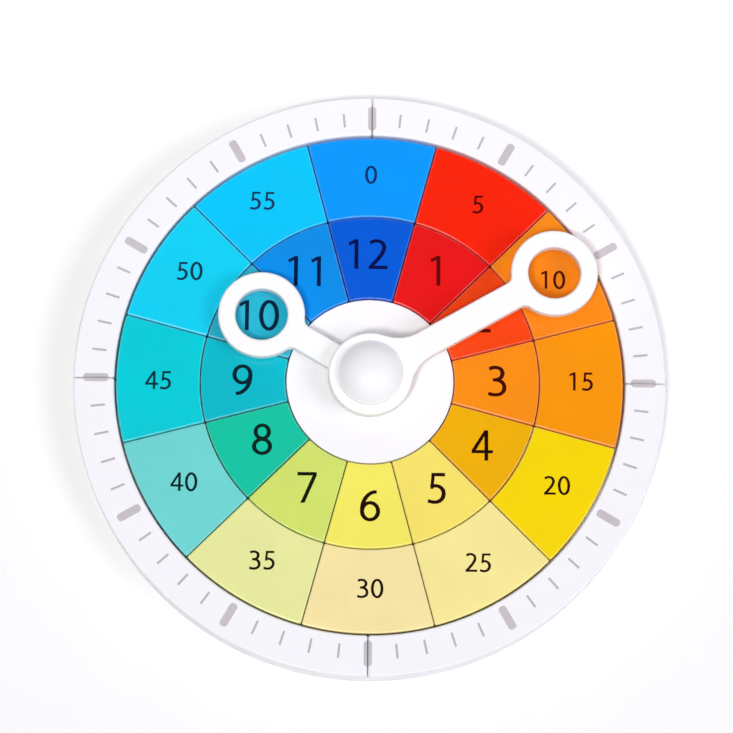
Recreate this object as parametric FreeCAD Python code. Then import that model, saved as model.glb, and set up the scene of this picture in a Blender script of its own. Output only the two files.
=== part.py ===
import FreeCAD, Part
import math
import os

# Teaching clock that lies on a table with its dial up. The origin is on the clock's axis, at the
# underside of the board. +Z points out of the dial and +Y points to 12 o'clock. Millimetres.

# Dial, from the middle outwards
hub_diameter = 84.6
hub_gap = 0.55                   # ring of air between the hub and the hour tiles
hour_tile_length = 42.85         # along the radius
minute_tile_length = 42.15       # along the radius
tile_gap = 0.45                  # between two neighbouring tiles
rim_gap = 1.0                    # between the minute tiles and the rim
rim_width = 20.7

# Heights of the dial
base_thickness = 9.0
tile_thickness = 12.0
hub_thickness = 12.0
rim_thickness = 13.5

# Rounded and bevelled edges of the wooden pieces
board_edge_radius = 1.2
rim_edge_radius = 1.1
rim_corner_radius = 1.2
rim_joint_gap = 0.4
hub_edge_radius = 0.5
tile_corner_radius = 1.0
tile_edge_bevel = 0.35

# Hands
hour_hand_length = 63.8          # from the clock's axis to the middle of the finger ring
minute_hand_length = 106.8
hour_hand_angle = 300.0          # clockwise from 12 o'clock, as the clock is shown
minute_hand_angle = 60.0
hand_thickness = 6.5
finger_ring_diameter = 44.0
finger_hole_diameter = 26.4
hour_arm_width = 13.4
minute_arm_width = 14.0
minute_collar_diameter = 42.4
hour_collar_diameter = 36.0
minute_collar_fillet = 20.0
hour_collar_fillet = 6.0
finger_ring_fillet = 4.0
hand_edge_radius = 1.2
hour_boss_diameter = 34.0
hour_boss_height = 2.8

# Knob over the middle of the minute hand
knob_diameter = 32.4
knob_wall_height = 2.0
knob_crown_height = 7.2
knob_edge_radius = 1.0
knob_bore_depth = 4.5

# Gears, all with the same teeth
gear_module = 0.7
pressure_angle = 25.0
addendum_factor = 0.8
dedendum_factor = 1.0
tooth_thinning = 0.06            # taken off each tooth, along the pitch circle
flank_steps = 3
cannon_teeth = 15
idler_wheel_teeth = 45
idler_pinion_teeth = 12
hour_wheel_teeth = 48
wheel_face = 3.2
cannon_face = 4.0
cannon_collar_height = 0.4
cannon_collar_diameter = 8.0
wheel_spacing = 1.0              # between the idler wheel and the hour wheel above it
idler_boss_height = 0.4          # of the idler pinion above the hour wheel

# Shaft, tube and bearings
arbor_diameter = 6.0
arbor_journal_diameter = 5.0
arbor_collar_diameter = 8.6
arbor_collar_height = 0.6
arbor_tip_inset = 0.4            # of the arbor's lower end inside its bush
flat_depth = 0.6                 # of the flats that key pinion and hands
pipe_outer_diameter = 10.0
pipe_flange_diameter = 15.0
pipe_flange_height = 0.8
hub_bush_diameter = 14.0
hub_bush_flange_diameter = 19.0
hub_bush_flange_height = 1.0
arbor_bush_diameter = 10.0
arbor_bush_flange_diameter = 14.0
arbor_bush_flange_height = 0.5
running_clearance = 0.06         # radial, between a shaft and its bearing
axial_clearance = 0.2            # between a turning face and a fixed one

# Post of the idler gear
stud_diameter = 4.0
stud_rivet_diameter = 5.0
stud_flange_diameter = 9.0
stud_tip_height = 0.4            # above the clip
clip_diameter = 7.2
clip_thickness = 0.6
clip_slot_width = 1.6

# Washers
friction_washer_diameter = 12.0
friction_washer_thickness = 0.3
friction_washer_dish = 0.2
hub_washer_inner_diameter = 14.6
hub_washer_outer_diameter = 30.0
hub_washer_thickness = 0.5
hand_washer_diameter = 18.0
hand_washer_thickness = 0.8

# Back cover, its pocket and its screws
cover_inset = 1.0                # of the cover above the table
cover_thickness = 2.5
cover_edge_gap = 0.4
cover_ledge = 8.0                # wood that the cover lies on, all round the pocket
cover_edge_radius = 0.4
pocket_clearance = 1.2           # round the wheels
pocket_roof_gap = 0.4            # above the stud
screw_diameter = 3.0
screw_head_diameter = 6.0
screw_head_height = 1.6
screw_head_inset = 0.1
screw_tip_height = 1.4
screw_length = 15.5
screw_ledge_offset = 4.0         # from the pocket's wall
screw_angles = (75.0, 145.0, 215.0, 285.0)
driver_slot_length = 3.4
driver_slot_width = 0.8
driver_slot_depth = 0.8

# Radii of the dial
hub_radius = hub_diameter / 2
hour_tile_inner = hub_radius + hub_gap
hour_tile_outer = hour_tile_inner + hour_tile_length
minute_tile_inner = hour_tile_outer + tile_gap
minute_tile_outer = minute_tile_inner + minute_tile_length
rim_inner = minute_tile_outer + rim_gap
board_radius = rim_inner + rim_width

# Gear train
pitch = {teeth: gear_module * teeth / 2
         for teeth in (cannon_teeth, idler_wheel_teeth, idler_pinion_teeth, hour_wheel_teeth)}
addendum = gear_module * addendum_factor
idler_offset = pitch[cannon_teeth] + pitch[idler_wheel_teeth]

# Levels, from the table up
cover_top = cover_inset + cover_thickness
arbor_bush_top = cover_top + arbor_bush_flange_height
friction_washer_top = arbor_bush_top + friction_washer_thickness + friction_washer_dish
arbor_collar_bottom = friction_washer_top + axial_clearance
cannon_bottom = arbor_collar_bottom + arbor_collar_height
cannon_tooth_top = cannon_bottom + cannon_face
cannon_top = cannon_tooth_top + cannon_collar_height
idler_bottom = cannon_bottom + (cannon_face - wheel_face) / 2
idler_wheel_top = idler_bottom + wheel_face
hour_wheel_bottom = max(idler_wheel_top + wheel_spacing, cannon_top + axial_clearance)
hour_wheel_top = hour_wheel_bottom + wheel_face
idler_top = hour_wheel_top + idler_boss_height
stud_flange_top = idler_bottom - axial_clearance
clip_bottom = idler_top + axial_clearance
clip_top = clip_bottom + clip_thickness
stud_tip = clip_top + stud_tip_height
pipe_flange_top = hour_wheel_top + pipe_flange_height
hub_bush_flange_bottom = pipe_flange_top + axial_clearance
pocket_roof = max(hub_bush_flange_bottom + hub_bush_flange_height, stud_tip + pocket_roof_gap)
hub_top = base_thickness + hub_thickness
hub_washer_top = hub_top + hub_washer_thickness
hour_boss_bottom = hub_washer_top + axial_clearance
hour_hand_bottom = hour_boss_bottom + hour_boss_height
hour_hand_top = hour_hand_bottom + hand_thickness
hand_washer_top = hour_hand_top + hand_washer_thickness
minute_hand_bottom = hand_washer_top + axial_clearance
minute_hand_top = minute_hand_bottom + hand_thickness
knob_shoulder = minute_hand_top + knob_wall_height
arbor_top = minute_hand_top + knob_bore_depth

# Pocket for the wheels, round about both of their axes
pocket_low = -(pitch[hour_wheel_teeth] + addendum + pocket_clearance)
pocket_high = idler_offset + pitch[idler_wheel_teeth] + addendum + pocket_clearance
pocket_x = (pocket_low + pocket_high) / 2
pocket_radius = (pocket_high - pocket_low) / 2
cover_radius = pocket_radius + cover_ledge

up = FreeCAD.Vector(0, 0, 1)


def point(x, y, z=0.0):
    return FreeCAD.Vector(x, y, z)


def polar(radius, degrees, z=0.0):
    """Point at a radius and an angle counted anticlockwise from +X."""
    angle = math.radians(degrees)
    return FreeCAD.Vector(radius * math.cos(angle), radius * math.sin(angle), z)


def cylinder(radius, bottom, top, x=0.0, y=0.0):
    return Part.makeCylinder(radius, top - bottom, point(x, y, bottom), up)


def tube(outer, inner, bottom, top, x=0.0, y=0.0):
    return cylinder(outer, bottom, top, x, y).cut(cylinder(inner, bottom, top, x, y))


def keyed_rod(radius, bottom, top):
    """Rod with one flat that faces +X. The same solid cuts the bore that it fits."""
    flat = Part.makeBox(flat_depth, 2 * radius, top - bottom,
                        point(radius - flat_depth, -radius, bottom))
    return cylinder(radius, bottom, top).cut(flat)


def extrude(edges, bottom, top):
    """Solid on a closed chain of edges drawn at height zero."""
    face = Part.Face(Part.Wire(edges))
    face.translate(point(0, 0, bottom))
    return face.extrude(point(0, 0, top - bottom))


def level_edges(solid, z):
    """Edges of a solid that lie flat at one height."""
    found = []
    for edge in solid.Edges:
        box = edge.BoundBox
        if abs(box.ZMin - z) < 1e-6 and abs(box.ZMax - z) < 1e-6:
            found.append(edge)
    return found


def upright_edges(solid, bottom, top):
    """Straight edges that run the full height of a solid."""
    found = []
    for edge in solid.Edges:
        box = edge.BoundBox
        full = abs(box.ZMin - bottom) < 1e-6 and abs(box.ZMax - top) < 1e-6
        if full and box.XLength < 1e-6 and box.YLength < 1e-6:
            found.append(edge)
    return found


def arc(radius, start, middle, end):
    return Part.Arc(polar(radius, start), polar(radius, middle), polar(radius, end)).toShape()


def ring_sector(inner, outer, sweep, gap, bottom, top, corner):
    """Sector of a ring about +X, with half the gap taken off each straight side."""
    inner_half = sweep / 2 - math.degrees(math.asin(gap / 2 / inner))
    outer_half = sweep / 2 - math.degrees(math.asin(gap / 2 / outer))
    edges = [
        arc(inner, -inner_half, 0, inner_half),
        Part.LineSegment(polar(inner, inner_half), polar(outer, outer_half)).toShape(),
        arc(outer, outer_half, 0, -outer_half),
        Part.LineSegment(polar(outer, -outer_half), polar(inner, -inner_half)).toShape(),
    ]
    block = extrude(edges, bottom, top)
    return block.makeFillet(corner, upright_edges(block, bottom, top))


def turned(shape, degrees):
    """Copy of a shape turned anticlockwise about the clock's axis."""
    copy = shape.copy()
    copy.rotate(point(0, 0), up, degrees)
    return copy


def from_twelve(clockwise):
    """Angle from +X of a direction counted clockwise from 12 o'clock."""
    return 90.0 - clockwise


def involute(angle):
    return math.tan(angle) - angle


def gear_outline(teeth, tooth_at):
    """Corners of a gear's outline about the origin, with the middle of one tooth at an angle."""
    pitch_radius = pitch[teeth]
    root = pitch_radius - gear_module * dedendum_factor
    tip = pitch_radius + addendum
    base_circle = pitch_radius * math.cos(math.radians(pressure_angle))
    half_tooth = (math.pi * gear_module / 2 - tooth_thinning) / 2 / pitch_radius
    half_at_base = half_tooth + involute(math.radians(pressure_angle))
    flank = []
    for step in range(flank_steps + 1):
        radius = root + (tip - root) * step / flank_steps
        roll = math.acos(min(1.0, base_circle / radius))
        flank.append((radius, math.degrees(half_at_base - involute(roll))))
    corners = []
    for tooth in range(teeth):
        middle = tooth_at + 360.0 * tooth / teeth
        corners += [polar(radius, middle - half) for radius, half in flank]
        corners += [polar(radius, middle + half) for radius, half in reversed(flank)]
    return corners


def gear(teeth, tooth_at, bottom, top, x=0.0):
    corners = gear_outline(teeth, tooth_at)
    face = Part.Face(Part.makePolygon(corners + corners[:1]))
    face.translate(point(x, 0, bottom))
    return face.extrude(point(0, 0, top - bottom))


def gap_at(teeth, degrees):
    """Tooth angle that puts the gap between two teeth at a direction."""
    return degrees + 180.0 / teeth


def mirrored_outline(points):
    """Closed chain of edges from one half of an outline, drawn from -X to +X above the X axis.

    Each entry is a point, or a pair of a middle point and an end point of an arc.
    """
    edges = []
    for sign in (1, -1):
        here = points[0]
        for item in points[1:]:
            start = point(here.x, sign * here.y)
            if isinstance(item, tuple):
                middle, end = (point(p.x, sign * p.y) for p in item)
                edges.append(Part.Arc(start, middle, end).toShape())
                here = item[1]
            else:
                edges.append(Part.LineSegment(start, point(item.x, sign * item.y)).toShape())
                here = item
    return Part.__sortEdges__(edges)


def between(centre, radius, first, second):
    """Point on a circle half way between two directions given in degrees."""
    return centre + polar(radius, (first + second) / 2)


def hand_plate(length, arm_width, collar_radius, collar_fillet, bottom):
    """Flat hand along +X: a round collar, an arm and a finger ring, blended into each other."""
    half_arm = arm_width / 2
    ring_radius = finger_ring_diameter / 2
    top = bottom + hand_thickness
    blend_x = math.sqrt((collar_radius + collar_fillet) ** 2 - (half_arm + collar_fillet) ** 2)
    blend = point(blend_x, half_arm + collar_fillet)
    collar_angle = math.degrees(math.atan2(blend.y, blend.x))
    neck_x = math.sqrt((ring_radius + finger_ring_fillet) ** 2 - (half_arm + finger_ring_fillet) ** 2)
    neck = point(length - neck_x, half_arm + finger_ring_fillet)
    neck_angle = math.degrees(math.atan2(neck.y, neck.x - length))
    ring_middle = point(length, 0)
    outline = [
        polar(collar_radius, 180.0),
        (between(point(0, 0), collar_radius, 180.0, collar_angle), polar(collar_radius, collar_angle)),
        (between(blend, collar_fillet, collar_angle - 180.0, -90.0), blend + polar(collar_fillet, -90.0)),
        neck + polar(finger_ring_fillet, -90.0),
        (between(neck, finger_ring_fillet, -90.0, neck_angle - 180.0),
         neck + polar(finger_ring_fillet, neck_angle - 180.0)),
        (between(ring_middle, ring_radius, neck_angle, 0.0), point(length + ring_radius, 0)),
    ]
    plate = extrude(mirrored_outline(outline), bottom, top)
    plate = plate.cut(cylinder(finger_hole_diameter / 2, bottom, top, length))
    return plate.makeFillet(hand_edge_radius, level_edges(plate, bottom) + level_edges(plate, top))


def profile_solid(corners):
    """Solid of revolution from (radius, z) corners."""
    points = [point(radius, 0, z) for radius, z in corners]
    face = Part.Face(Part.makePolygon(points + points[:1]))
    return face.revolve(point(0, 0), up, 360)


def screw_positions():
    radius = pocket_radius + screw_ledge_offset
    return [point(pocket_x, 0) + polar(radius, angle) for angle in screw_angles]


def screw(place):
    """Countersunk wood screw with its head down and a cross slot in it."""
    head_bottom = cover_inset + screw_head_inset
    head_top = head_bottom + screw_head_height
    tip = head_bottom + screw_length
    shank = screw_diameter / 2
    body = profile_solid([
        (0, head_bottom), (screw_head_diameter / 2, head_bottom), (shank, head_top),
        (shank, tip - screw_tip_height), (0, tip),
    ])
    for turn in (0, 90):
        slot = Part.makeBox(driver_slot_length, driver_slot_width, driver_slot_depth,
                            point(-driver_slot_length / 2, -driver_slot_width / 2, head_bottom))
        body = body.cut(turned(slot, turn))
    body.translate(place)
    return body


def screw_hole(place):
    """Room for one screw, with the same sizes as the screw and an open countersink."""
    head_bottom = cover_inset + screw_head_inset
    head_top = head_bottom + screw_head_height
    tip = head_bottom + screw_length
    shank = screw_diameter / 2
    hole = profile_solid([
        (0, cover_inset), (screw_head_diameter / 2, cover_inset), (screw_head_diameter / 2, head_bottom),
        (shank, head_top), (shank, tip - screw_tip_height), (0, tip),
    ])
    hole.translate(place)
    return hole


def drilled(shape):
    for place in screw_positions():
        shape = shape.cut(screw_hole(place))
    return shape


def base_board():
    board = cylinder(board_radius, 0, base_thickness)
    board = board.makeFillet(board_edge_radius, level_edges(board, 0))
    board = board.cut(cylinder(cover_radius + cover_edge_gap, 0, cover_top, pocket_x))
    board = board.cut(cylinder(pocket_radius, cover_top, base_thickness, pocket_x))
    return drilled(board)


def rim_quarter(middle):
    top = base_thickness + rim_thickness
    piece = ring_sector(rim_inner, board_radius, 90.0, rim_joint_gap, base_thickness, top,
                        rim_corner_radius)
    piece = piece.makeFillet(rim_edge_radius, level_edges(piece, top))
    return turned(piece, middle)


def tile(inner, outer, position):
    """Tile of one twelfth of the dial, at a position counted in hours from 12 o'clock."""
    top = base_thickness + tile_thickness
    piece = ring_sector(inner, outer, 30.0, tile_gap, base_thickness, top, tile_corner_radius)
    piece = piece.makeChamfer(tile_edge_bevel, level_edges(piece, top))
    return turned(piece, from_twelve(30.0 * position))


def hub_disc():
    disc = cylinder(hub_radius, base_thickness, hub_top)
    disc = disc.makeFillet(hub_edge_radius, level_edges(disc, hub_top))
    disc = disc.cut(cylinder(pocket_radius, base_thickness, pocket_roof, pocket_x))
    disc = disc.cut(cylinder(hub_bush_diameter / 2, pocket_roof, hub_top))
    return drilled(disc)


def hub_bush():
    bore = pipe_outer_diameter / 2 + running_clearance
    flange_bottom = pocket_roof - hub_bush_flange_height
    sleeve = cylinder(hub_bush_diameter / 2, pocket_roof, hub_top)
    flange = cylinder(hub_bush_flange_diameter / 2, flange_bottom, pocket_roof)
    return sleeve.fuse(flange).removeSplitter().cut(cylinder(bore, flange_bottom, hub_top))


def back_cover():
    plate = cylinder(cover_radius, cover_inset, cover_top, pocket_x)
    plate = plate.makeFillet(cover_edge_radius, level_edges(plate, cover_inset))
    plate = plate.cut(cylinder(arbor_bush_diameter / 2, cover_inset, cover_top))
    plate = plate.cut(cylinder(stud_rivet_diameter / 2, cover_inset, cover_top, idler_offset))
    return drilled(plate)


def arbor_bush():
    bore = arbor_journal_diameter / 2 + running_clearance
    sleeve = cylinder(arbor_bush_diameter / 2, cover_inset, cover_top)
    flange = cylinder(arbor_bush_flange_diameter / 2, cover_top, arbor_bush_top)
    return sleeve.fuse(flange).removeSplitter().cut(cylinder(bore, cover_inset, arbor_bush_top))


def friction_washer():
    """Dished washer that rises from its rim to its hole."""
    hole = arbor_journal_diameter / 2 + axial_clearance
    rim = friction_washer_diameter / 2
    low = arbor_bush_top
    return profile_solid([
        (rim, low), (rim, low + friction_washer_thickness),
        (hole, friction_washer_top), (hole, low + friction_washer_dish),
    ])


def minute_arbor():
    rod = arbor_diameter / 2
    shaft = cylinder(arbor_journal_diameter / 2, cover_inset + arbor_tip_inset, arbor_collar_bottom)
    shaft = shaft.fuse(cylinder(arbor_collar_diameter / 2, arbor_collar_bottom, cannon_bottom))
    shaft = shaft.fuse(keyed_rod(rod, cannon_bottom, cannon_top))
    shaft = shaft.fuse(cylinder(rod, cannon_top, minute_hand_bottom))
    shaft = shaft.fuse(keyed_rod(rod, minute_hand_bottom, minute_hand_top))
    return shaft.fuse(cylinder(rod, minute_hand_top, arbor_top)).removeSplitter()


def cannon_pinion():
    pinion = gear(cannon_teeth, 0.0, cannon_bottom, cannon_tooth_top)
    pinion = pinion.fuse(cylinder(cannon_collar_diameter / 2, cannon_tooth_top, cannon_top))
    return pinion.cut(keyed_rod(arbor_diameter / 2, cannon_bottom, cannon_top))


def idler_gear():
    """Large wheel in mesh with the cannon pinion, and the pinion on it that drives the hour wheel."""
    wheel = gear(idler_wheel_teeth, gap_at(idler_wheel_teeth, 180.0), idler_bottom, idler_wheel_top,
                 idler_offset)
    pinion = gear(idler_pinion_teeth, 180.0, idler_wheel_top, idler_top, idler_offset)
    bore = cylinder(stud_diameter / 2 + running_clearance, idler_bottom, idler_top, idler_offset)
    return wheel.fuse(pinion).cut(bore)


def idler_stud():
    stud = cylinder(stud_rivet_diameter / 2, cover_inset, cover_top, idler_offset)
    stud = stud.fuse(cylinder(stud_flange_diameter / 2, cover_top, stud_flange_top, idler_offset))
    return stud.fuse(cylinder(stud_diameter / 2, stud_flange_top, stud_tip, idler_offset))


def idler_clip():
    clip = tube(clip_diameter / 2, stud_diameter / 2, clip_bottom, clip_top, idler_offset)
    slot = Part.makeBox(clip_diameter, clip_slot_width, clip_thickness,
                        point(idler_offset, -clip_slot_width / 2, clip_bottom))
    return clip.cut(slot)


def hour_wheel():
    wheel = gear(hour_wheel_teeth, gap_at(hour_wheel_teeth, 0.0), hour_wheel_bottom, hour_wheel_top)
    return wheel.cut(cylinder(pipe_outer_diameter / 2, hour_wheel_bottom, hour_wheel_top))


def hour_pipe():
    outer = pipe_outer_diameter / 2
    pipe = cylinder(outer, hour_wheel_bottom, hour_hand_bottom)
    pipe = pipe.fuse(cylinder(pipe_flange_diameter / 2, hour_wheel_top, pipe_flange_top))
    pipe = pipe.fuse(keyed_rod(outer, hour_hand_bottom, hour_hand_top)).removeSplitter()
    return pipe.cut(cylinder(arbor_diameter / 2 + running_clearance, hour_wheel_bottom, hour_hand_top))


def hour_hand():
    plate = hand_plate(hour_hand_length, hour_arm_width, hour_collar_diameter / 2,
                       hour_collar_fillet, hour_hand_bottom)
    plate = turned(plate, from_twelve(hour_hand_angle))
    boss_low = hour_boss_bottom
    boss_high = hour_hand_bottom + hand_edge_radius
    plate = plate.fuse(cylinder(hour_boss_diameter / 2, boss_low, boss_high)).removeSplitter()
    plate = plate.cut(cylinder(pipe_outer_diameter / 2, boss_low, hour_hand_bottom))
    return plate.cut(keyed_rod(pipe_outer_diameter / 2, hour_hand_bottom, hour_hand_top))


def minute_hand():
    plate = hand_plate(minute_hand_length, minute_arm_width, minute_collar_diameter / 2,
                       minute_collar_fillet, minute_hand_bottom)
    plate = turned(plate, from_twelve(minute_hand_angle))
    return plate.cut(keyed_rod(arbor_diameter / 2, minute_hand_bottom, minute_hand_top))


def hand_knob():
    """Round knob with an upright wall, a rounded shoulder and a domed crown."""
    radius = knob_diameter / 2
    crown_radius = radius - knob_edge_radius
    crown_low = knob_shoulder + knob_edge_radius
    crown_top = knob_shoulder + knob_crown_height
    rise = crown_top - crown_low
    sphere = (crown_radius ** 2 + rise ** 2) / (2 * rise)
    lean = math.asin(crown_radius / sphere) / 2
    crown_middle = point(sphere * math.sin(lean), 0, crown_top - sphere * (1 - math.cos(lean)))
    shoulder_middle = point(crown_radius, 0, knob_shoulder) + polar_upright(knob_edge_radius, 45.0)
    start = point(0, 0, minute_hand_top)
    corner = point(radius, 0, minute_hand_top)
    wall_top = point(radius, 0, knob_shoulder)
    crown_edge = point(crown_radius, 0, crown_low)
    apex = point(0, 0, crown_top)
    edges = [
        Part.LineSegment(start, corner).toShape(),
        Part.LineSegment(corner, wall_top).toShape(),
        Part.Arc(wall_top, shoulder_middle, crown_edge).toShape(),
        Part.Arc(crown_edge, crown_middle, apex).toShape(),
        Part.LineSegment(apex, start).toShape(),
    ]
    knob = Part.Face(Part.Wire(edges)).revolve(point(0, 0), up, 360)
    return knob.cut(cylinder(arbor_diameter / 2, minute_hand_top, arbor_top))


def polar_upright(radius, degrees):
    """Step in the XZ plane at an angle above +X."""
    angle = math.radians(degrees)
    return FreeCAD.Vector(radius * math.cos(angle), 0, radius * math.sin(angle))


def hub_washer():
    return tube(hub_washer_outer_diameter / 2, hub_washer_inner_diameter / 2, hub_top, hub_washer_top)


def hand_washer():
    bore = arbor_diameter / 2 + running_clearance
    return tube(hand_washer_diameter / 2, bore, hour_hand_top, hand_washer_top)


def all_pieces():
    pieces = {
        "base_board": base_board(),
        "hub_disc": hub_disc(),
        "hub_bush": hub_bush(),
        "hub_washer": hub_washer(),
        "back_cover": back_cover(),
        "cover_screws": Part.makeCompound([screw(place) for place in screw_positions()]),
        "arbor_bush": arbor_bush(),
        "friction_washer": friction_washer(),
        "minute_arbor": minute_arbor(),
        "cannon_pinion": cannon_pinion(),
        "idler_gear": idler_gear(),
        "idler_stud": idler_stud(),
        "idler_clip": idler_clip(),
        "hour_wheel": hour_wheel(),
        "hour_pipe": hour_pipe(),
        "hour_hand": hour_hand(),
        "hand_washer": hand_washer(),
        "minute_hand": minute_hand(),
        "hand_knob": hand_knob(),
    }
    for name, middle in (("ne", 45.0), ("nw", 135.0), ("sw", 225.0), ("se", 315.0)):
        pieces[f"rim_quarter_{name}"] = rim_quarter(middle)
    for position in range(12):
        pieces[f"minute_tile_{5 * position:02d}"] = tile(minute_tile_inner, minute_tile_outer, position)
        pieces[f"hour_tile_{position or 12:02d}"] = tile(hour_tile_inner, hour_tile_outer, position)
    return pieces


def main():
    os.makedirs("parts", exist_ok=True)
    for name, shape in all_pieces().items():
        shape.exportStep(f"parts/{name}.step")
        print(f"{name}: {len(shape.Solids)} solid, {shape.Volume / 1000:.2f} cm3, valid {shape.isValid()}")
    print(f"diameter {2 * board_radius:.2f}, height {knob_shoulder + knob_crown_height:.2f}")


main()
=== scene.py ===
import logging
import math
from dataclasses import dataclass, field
from enum import Enum
from typing import Iterable, Sequence

import bmesh
import bpy
import numpy as np
from mathutils import Matrix, Vector
from mathutils.geometry import delaunay_2d_cdt


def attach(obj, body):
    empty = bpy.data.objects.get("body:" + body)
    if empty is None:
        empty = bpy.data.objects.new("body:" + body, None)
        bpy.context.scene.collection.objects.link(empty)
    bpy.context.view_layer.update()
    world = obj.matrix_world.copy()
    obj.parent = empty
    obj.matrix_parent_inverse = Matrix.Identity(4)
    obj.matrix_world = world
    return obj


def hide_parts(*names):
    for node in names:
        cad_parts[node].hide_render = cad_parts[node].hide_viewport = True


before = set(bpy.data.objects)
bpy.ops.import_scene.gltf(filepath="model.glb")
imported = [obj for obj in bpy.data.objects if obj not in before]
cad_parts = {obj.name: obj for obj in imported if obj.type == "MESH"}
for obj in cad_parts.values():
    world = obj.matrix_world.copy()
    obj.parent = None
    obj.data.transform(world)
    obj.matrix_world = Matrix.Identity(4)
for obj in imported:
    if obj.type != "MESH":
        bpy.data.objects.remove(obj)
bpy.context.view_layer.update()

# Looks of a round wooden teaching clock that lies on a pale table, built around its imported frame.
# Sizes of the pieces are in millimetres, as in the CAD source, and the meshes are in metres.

MM = 0.001
ARC_TOLERANCE = 0.012    # of a chord from its arc
SMALL_ARC_SHARE = 0.006  # the most of that on a small arc, as a share of its radius
TOUCHING = 1e-5          # distance at which two points count as one
FEWEST_SIDES = 32        # of a circle
EDGE_STEPS = 6           # faces across a rounded edge
SUPPORT = 0.08           # from a rounded edge to the loop that keeps the flat face beside it flat
SHARP_ANGLE = 35.0       # degrees between two faces above which they don't shade as one
SLANT_SUPPORT = 0.2      # the same beside an edge cut off at a slant
SLANT_WEAR = 0.5         # on the corners of such an edge
SIDE_LIMIT = 0.8         # upward share of a normal at which a wall has become a top
STROKE_CORNER = 0.42     # corner radius of a printed mark, as a share of its width
JOINT_CORNER = 0.2       # corner radius of a mark beside the joint that cuts it
FILM_SUNK = 0.03         # how far a film of print reaches into the wood
FILM_PROUD = 0.02        # how far it stands out of it
BUMP_STRENGTH = 0.5
PRIMER = 0.9             # scene brightness of the primer under the paint
SUN_PLACE = 3.0          # metres to a lamp a long way off, where any distance would do
HOURS = 12
STEP = 360.0 / HOURS

log = logging.getLogger("teaching_clock")
logging.basicConfig(level=logging.INFO, format="%(message)s")

Colour = tuple[int, int, int]
ProfilePoint = tuple[float, float, float]


# ---------------------------------------------------------------- outlines

def unit(degrees: float) -> np.ndarray:
    """Direction in the dial's plane, counted anticlockwise from 3 o'clock."""
    angle = math.radians(degrees)
    return np.array((math.cos(angle), math.sin(angle)))


def from_twelve(clockwise: float) -> float:
    """Angle from 3 o'clock of a direction counted clockwise from 12 o'clock."""
    return 90.0 - clockwise


@dataclass(frozen=True)
class Outline:
    """Closed line round a piece, with the direction out of the wood at each point."""

    points: np.ndarray
    normals: np.ndarray

    def inset(self, distance: float) -> np.ndarray:
        """Points of the outline moved into the wood."""
        return self.points - self.normals * distance

    def turned(self, degrees: float) -> "Outline":
        """The same outline turned anticlockwise about the clock's axis."""
        c, s = unit(degrees)
        turn = np.array(((c, s), (-s, c)))
        return Outline(self.points @ turn, self.normals @ turn)


class OutlinePen:
    """Draws an outline as a chain of arcs that meet smoothly; straight sides join them."""

    def __init__(self) -> None:
        """Start with an empty outline."""
        self.points: list[np.ndarray] = []
        self.normals: list[np.ndarray] = []

    def arc(self, centre: Sequence[float], radius: float, start: float, end: float,
            hollow: bool = False) -> None:
        """Add an arc.

        Args:
            centre: Middle of the arc.
            radius: Its radius.
            start: Angle of its first point, in degrees.
            end: Angle of its last point, in degrees.
            hollow: True where the arc's middle lies outside the wood.
        """
        ratio = min(ARC_TOLERANCE / max(radius, ARC_TOLERANCE), SMALL_ARC_SHARE)
        widest = math.degrees(2 * math.acos(1 - ratio))
        count = max(2, math.ceil(abs(end - start) / widest))
        for angle in np.linspace(start, end, count + 1):
            direction = unit(angle)
            place = np.array(centre[:2]) + direction * radius
            if self.points and np.linalg.norm(place - self.points[-1]) < TOUCHING:
                continue
            self.points.append(place)
            self.normals.append(-direction if hollow else direction)

    def close(self) -> Outline:
        """Finish the outline.

        Returns:
            The outline, without a second copy of its first point.
        """
        if np.linalg.norm(self.points[0] - self.points[-1]) < TOUCHING:
            self.points.pop()
            self.normals.pop()
        return Outline(np.array(self.points), np.array(self.normals))


def circle(radius: float, centre: Sequence[float] = (0.0, 0.0), hole: bool = False,
           count: int = 0) -> Outline:
    """Round outline.

    Args:
        radius: Radius of the circle.
        centre: Its middle.
        hole: True for a hole through the wood.
        count: Number of points, or 0 for as many as the radius needs.

    Returns:
        The outline.
    """
    if not count:
        quarter = math.ceil(math.pi / math.acos(1 - ARC_TOLERANCE / radius) / 4)
        count = max(FEWEST_SIDES, quarter * 4)
    turns = np.arange(count) * 2 * math.pi / count
    rays = np.stack((np.cos(turns), np.sin(turns)), 1)
    return Outline(np.array(centre) + rays * radius, -rays if hole else rays)


def ring_sector(inner: float, outer: float, sweep: float, gap: float, corner: float) -> Outline:
    """Outline of a sector of a ring about 3 o'clock, with rounded corners.

    Args:
        inner: Inner radius.
        outer: Outer radius.
        sweep: Angle that the sector shares out, in degrees.
        gap: Air between this sector and the next, half of which comes off each side.
        corner: Radius of the corners.

    Returns:
        The outline.
    """
    side = sweep / 2
    reach = gap / 2 + corner

    def corner_centre(distance: float) -> np.ndarray:
        """Middle of the upper corner's circle at a distance from the clock's axis."""
        along = math.sqrt(distance ** 2 - reach ** 2)
        return unit(side) * along - unit(side + 90) * reach

    far, near = corner_centre(outer - corner), corner_centre(inner + corner)
    far_angle = math.degrees(math.atan2(far[1], far[0]))
    near_angle = math.degrees(math.atan2(near[1], near[0]))
    flip = np.array((1, -1))
    pen = OutlinePen()
    pen.arc((0, 0), outer, -far_angle, far_angle)
    pen.arc(far, corner, far_angle, side + 90)
    pen.arc(near, corner, side + 90, near_angle + 180)
    pen.arc((0, 0), inner, near_angle, -near_angle, hollow=True)
    pen.arc(near * flip, corner, 180 - near_angle, 270 - side)
    pen.arc(far * flip, corner, -side - 90, -far_angle)
    return pen.close()


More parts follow.
